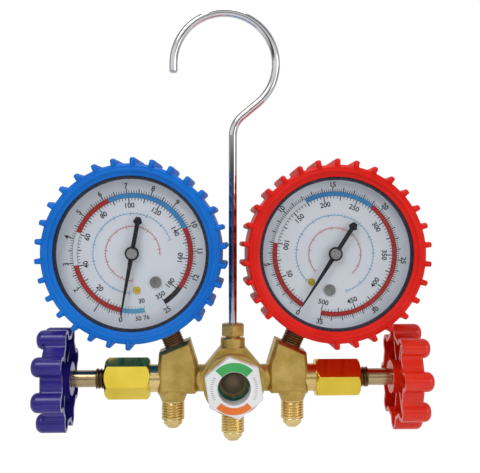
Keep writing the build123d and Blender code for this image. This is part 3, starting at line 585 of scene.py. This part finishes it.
BAND = {"low": (25.9 * MM, 28.1 * MM), "high": (27.3 * MM, 29.4 * MM)}
BAND_EDGE = 0.07 * MM                               # half of its black edge's width
MEDIUM = 5                                          # ticks to a medium step
TICK_LENGTHS = (1.2 * MM, 2.0 * MM, 2.4 * MM)       # short, medium and major
TICK_WIDTHS = (0.32 * MM, 0.48 * MM)                # short, and medium or major
THIN_LINE, THIN_TICK = 0.14 * MM, 0.30 * MM         # half a line's width, a tick's width
THIN_LONG, THIN_SHORT = 1.0 * MM, 0.7 * MM


def upright(side):
    """What turns a dial's print so that it stands upright in its tilted gauge, in degrees."""
    return -SIDES[side]["sign"] * SIDES[side]["tilt"]


def band_parts(sheet, side, parts):
    """The coloured parts of a dial's band."""
    for ink, start, end in parts:
        sheet.band(ink, *BAND[side], start + upright(side), end + upright(side))


def band_edges(sheet, side, start, end):
    """The black edges of a dial's band."""
    for radius in BAND[side]:
        sheet.band(INK_BLACK, radius - BAND_EDGE, radius + BAND_EDGE, start, end)


def scale(sheet, base, direction, zero, degrees_each, count, major, lengths=TICK_LENGTHS):
    """Black ticks from a circle outwards (1) or inwards (-1)."""
    for n in range(count + 1):
        size = 2 if n % major == 0 else 1 if n % MEDIUM == 0 else 0
        reach = base + direction * lengths[size]
        sheet.tick(INK_BLACK, base, reach, zero + n * degrees_each, TICK_WIDTHS[min(size, 1)])


def numbers(sheet, values, radius, zero, degrees_each, height):
    """Numbers, each at its own place on a scale."""
    for value in values:
        sheet.number(value, radius, zero + value * degrees_each, height)


def loose_numbers(sheet, turn, facts):
    """Numbers that follow no scale: value, radius, angle and height, in mm and degrees."""
    for value, radius, angle, height in facts:
        sheet.number(value, radius * MM, angle + turn, height * MM)


def thin_scale(sheet, ink, radius, start, end, count, major):
    """A thin line with short ticks outwards, and long ones across it at every major step."""
    sheet.band(ink, radius - THIN_LINE, radius + THIN_LINE, start, end)
    for n in range(count + 1):
        inward, outward = (THIN_LONG, THIN_LONG) if n % major == 0 else (0, THIN_SHORT)
        angle = start + (end - start) * n / count
        sheet.tick(ink, radius - inward, radius + outward, angle, THIN_TICK)


def print_low_dial():
    """0 to 12 outside and 0 to 180 inside, with a short scale below zero and a black end box."""
    sheet = Print()
    turn = upright("low")
    inner, outer = BAND["low"]
    below, start, end, box_end = 168, 190.5, 486, 507
    zero = start + turn
    band_parts(sheet, "low", (
        (INK_RED, start, 258), (INK_RED, 291, 335.5), (INK_BLUE, 335.5, 424),
        (INK_RED, 424, end), (INK_SKY, below, start),
    ))
    box_edge = 0.1 * MM
    sheet.band(INK_BLACK, inner - box_edge, outer + box_edge, end + turn, box_end + turn)
    band_edges(sheet, "low", zero, end + turn)
    outer_unit, inner_unit = 23.4, 1.655    # degrees
    scale(sheet, outer, 1, zero, outer_unit / 10, 125, 10, (1.3 * MM, 1.9 * MM, 2.3 * MM))
    numbers(sheet, range(13), 31.5 * MM, zero, outer_unit, 2.3 * MM)
    scale(sheet, inner, -1, zero, inner_unit * 2, 90, 10)
    numbers(sheet, range(20, 200, 20), 22.3 * MM, zero, inner_unit, 2.2 * MM)
    loose_numbers(sheet, turn, ((30, 22.6, 169.5, 2.0), (50, 30.6, 175, 1.9), (76, 30.6, 168, 1.9)))
    below_step, below_tick, below_width = 3.2, 1.2 * MM, 0.16 * MM
    for n in range(7):
        angle = below + n * below_step + turn
        sheet.tick(INK_BLACK, inner, inner - below_tick, angle, below_width)
        sheet.tick(INK_BLACK, outer, outer + below_tick, angle, below_width)
    loose_numbers(sheet, turn, ((350, 23.4, 146.5, 2.1), (25, 30.9, 148.5, 2.2)))
    sheet.tick(INK_BLACK, inner - 1.6 * MM, outer + 1.4 * MM, 147 + turn, 0.24 * MM)
    thin_scale(sheet, INK_SKY, 18.5 * MM, 185 + turn, 430 + turn, 50, 5)
    thin_scale(sheet, INK_PINK, 12.6 * MM, 181 + turn, 453 + turn, 46, 4)
    return sheet


def print_high_dial():
    """0 to 35 outside and 0 to 500 inside."""
    sheet = Print()
    turn = upright("high")
    inner, outer = BAND["high"]
    start, end = 212.5, 553.5
    zero = start + turn
    band_parts(sheet, "high", ((INK_RED, start, 280.7), (INK_BLUE, 331, 398), (INK_RED, 398, end)))
    band_edges(sheet, "high", zero, end + turn)
    outer_unit, inner_unit = 9.72, 34.1 / 50    # degrees
    scale(sheet, outer, 1, zero, outer_unit / 5, 175, 25)
    numbers(sheet, range(0, 40, 5), 32.6 * MM, zero, outer_unit, 2.2 * MM)
    scale(sheet, inner, -1, zero, inner_unit * 5, 100, 10)
    numbers(sheet, range(50, 550, 50), 23.4 * MM, zero, inner_unit, 2.2 * MM)
    thin_scale(sheet, INK_SKY, 18.2 * MM, 227 + turn, 522.6 + turn, 60, 5)
    thin_scale(sheet, INK_PINK, 12.2 * MM, 228.6 + turn, 497.4 + turn, 54, 5)
    return sheet


RING_FACE = -21.0 * MM      # y of the sight-glass ring's printed face
RING_Z = LIFT - 1.4 * MM


def print_ring():
    """A green arc above the sight glass and an orange one below, with ticks between them."""
    sheet = Print()
    sheet.band(RING_GREEN, 7.75 * MM, 11.9 * MM, -46, 46)
    sheet.band(RING_ORANGE, 8.75 * MM, 12.0 * MM, 137, 223)
    first_tick, tick_step = 62, 5.6
    for n in range(11):
        for way in (-1, 1):
            angle = way * (first_tick + tick_step * n)
            sheet.tick(INK_GREY, 9.6 * MM, 10.9 * MM, angle, 0.22 * MM)
    return sheet


# ---------------------------------------------------------------- threads, finishes, added pieces
PORT_R, PORT_X = 5.556 * MM, 28.797 * MM
PORTS = ((0.0, 5.0 * MM), (-PORT_X, 11.4 * MM), (PORT_X, 11.4 * MM))  # x, top of turned brass
PORT_THREAD = (PORT_R, 1.27 * MM, 0.62 * MM)        # radius, pitch and depth
STEM_THREAD = (4.85 * MM, 1.5 * MM, 0.75 * MM)
FOOT_THREAD = (5.0 * MM, 1.1 * MM, 0.45 * MM)
NECK_R, NECK_X = 6.65 * MM, 36.2 * MM               # the bar's turned ends: radius and start
HUB_HALF, HUB_TOP = 6.5 * MM, 19 * MM               # the top of the centre hub
PORT_NEAR, NECK_NEAR = 0.05 * MM, 0.1 * MM


def dress_manifold():
    """Turned brass on the ports, the bar's ends and the hub's top; forged brass elsewhere."""
    edit = copy_of("manifold_body")
    for x, _ in PORTS:
        cut_thread(edit, Matrix.Translation((x, 0, 0)), *PORT_THREAD, index=1)
    for face in edit.faces:
        middle = face.calc_center_median()
        off_axis = sqrt(middle.y**2 + (middle.z - LIFT) ** 2)
        port = any(middle.z < top and sqrt((middle.x - x) ** 2 + middle.y**2) < PORT_R + PORT_NEAR
                   for x, top in PORTS)
        neck = abs(middle.x) > NECK_X and off_axis < NECK_R + NECK_NEAR
        hub = abs(middle.x) < HUB_HALF and middle.z > LIFT + HUB_TOP
        if port or neck or hub:
            face.material_index = 1
    stand_in("manifold_body", edit, FORGED, THREAD_BRASS)


def dress_stem(side):
    """The stem's thread, which shows outside the bonnet."""
    node = side + "_valve_stem"
    edit = copy_of(node)
    along = Matrix.Translation((0, 0, LIFT)) @ Matrix.Rotation(radians(90), 4, "Y")
    cut_thread(edit, along, *STEM_THREAD, index=1)
    stand_in(node, edit, STEM_BRASS, DARK_BRASS)


def dress_neck(side):
    """The gauge's foot, threaded where it shows above the boss."""
    node = side + "_gauge_socket"
    edit = copy_of(node)
    cut_thread(edit, gauge_matrix(side), *FOOT_THREAD)
    stand_in(node, edit, BRONZE)


BEAD_R, BEAD_Y = 38.5 * MM, BOOT_FRONT + 0.25 * MM
BEAD_WIDE, BEAD_DEEP = 0.95 * MM, 0.8 * MM          # half sizes of its section
BEAD_SIDES, BEAD_STEPS = 12, 180                    # points round its section, and round the boot
NUBS, NUB_FIRST, NUB_STEP = 27, 204, 12             # how many, and their angles in degrees
NUB_R, NUB_Y = 41.9 * MM, BOOT_FRONT + 1.1 * MM
NUB_HALF = (1.35 * MM, 1.7 * MM, 2.25 * MM)


def dress_boot(side):
    """A bead round the boot's front and a rounded nub on the front end of each tooth."""
    place = gauge_matrix(side)
    edit = bmesh.new()
    turns = [2 * pi * n / BEAD_SIDES for n in range(BEAD_SIDES)]
    section = [(BEAD_R + BEAD_WIDE * cos(b), BEAD_Y + BEAD_DEEP * sin(b)) for b in turns]
    revolve(edit, place, section, BEAD_STEPS)
    stretch = Matrix.Diagonal((*NUB_HALF, 1))
    for n in range(NUBS):
        turn = Matrix.Rotation(radians(NUB_FIRST + NUB_STEP * n), 4, "Y")
        spot = place @ turn @ Matrix.Translation((0, NUB_Y, NUB_R)) @ stretch
        bmesh.ops.create_uvsphere(edit, u_segments=16, v_segments=12, radius=1, matrix=spot)
    new_piece(side + "_boot_nubs", edit, RUBBER[side], "manifold")


EDGE_STEPS = 120
GLASS_EDGES = (             # name, finish, and profile of (radius, y) points in mm
    # The dark seal ring is partly a real glazing seal and partly painted shade of the case's
    # inside.
    ("glass_seal", BEZEL_BLACK,
     ((34.3, -17.86), (34.5, -18.15), (35.9, -18.5), (36.2, -18.4), (36.2, -17.86))),
    ("dial_shroud", SHROUD, ((36.2, -16.1), (34.6, -16.1), (35.9, -12.1), (36.6, -12.1))),
)


def dress_glass_edge(side):
    """A dark seal at the glass, partly real and partly painted shade; the pale shroud round the
    dial.
    """
    for name, material, profile in GLASS_EDGES:
        edit = bmesh.new()
        revolve(edit, gauge_matrix(side), in_metres(profile), EDGE_STEPS)
        new_piece(side + "_" + name, edit, material, "manifold")


SMALL_SCREW = 4.0 * MM      # at least as wide as the small screw, which lies to the left


def dress_dial_screws(side):
    """The big slotted screw is steel and the small one brass."""
    node = side + "_dial_screws"
    edit = copy_of(node)
    small_ends = min(v.co.x for v in edit.verts) + SMALL_SCREW
    for face in edit.faces:
        face.material_index = 1 if face.calc_center_median().x < small_ends else 0
    stand_in(node, edit, SCREW_SILVER, MACHINED)


def sight_inside():
    """What shows through the sight glass: a green seal's lip and a brass dome with a small port."""
    lip = ((7.95, 0.0), (7.0, 0.0), (6.6, 0.35), (6.6, 1.0), (7.95, 1.0))
    port = ((0.85, 0.6), (0.85, -0.25), (0.45, -0.25), (0.45, 0.6))
    dome_r, dome_y, dome_deep, tip_r, steps = 6.5, -2.0, 3.4, 0.02, 8
    climb = [radians(90 * n / steps) for n in range(steps)]
    dome = [(dome_r * cos(a), dome_y - dome_deep * sin(a)) for a in climb]
    dome.append((tip_r, dome_y - dome_deep))
    for name, material, slot, x, y, z, profile, count in (
        ("sight_seal_lip", SEAL_GREEN, "gasket_green", 0, -7.15 * MM, 0, lip, 64),
        ("sight_dome", BRONZE_DOME, "forged_brass", 0, 0, 0, dome, 64),
        ("sight_port", DARK_BRASS, "forged_brass", -0.6 * MM, -4.1 * MM, 4.9 * MM, port, 24),
    ):
        edit = bmesh.new()
        place = Matrix.Translation((x, y, RING_Z + z))
        revolve(edit, place, in_metres(profile), count, closed=profile is not dome)
        new_piece(name, edit, material, "manifold")


# ---------------------------------------------------------------- running it
make_camera()
make_world()
make_floor()
make_lamps()

dress_manifold()
for side in SIDES:
    dress_stem(side)
    dress_dial_screws(side)
    dress_neck(side)
    dress_boot(side)
    dress_glass_edge(side)
sight_inside()
ring_place = Matrix.Translation((0, RING_FACE - INK_LIFT, RING_Z))
print_ring().lay("sight_ring_print", ring_place, "manifold", "ring_white")
print_place = Matrix.Translation((0, DIAL_FRONT - INK_LIFT, 0))
for side, print_dial in (("low", print_low_dial), ("high", print_high_dial)):
    dial_place = gauge_matrix(side) @ print_place
    print_dial().lay(side + "_dial_print", dial_place, "manifold", "dial_white")

bpy.context.scene.view_settings.view_transform = "Standard"
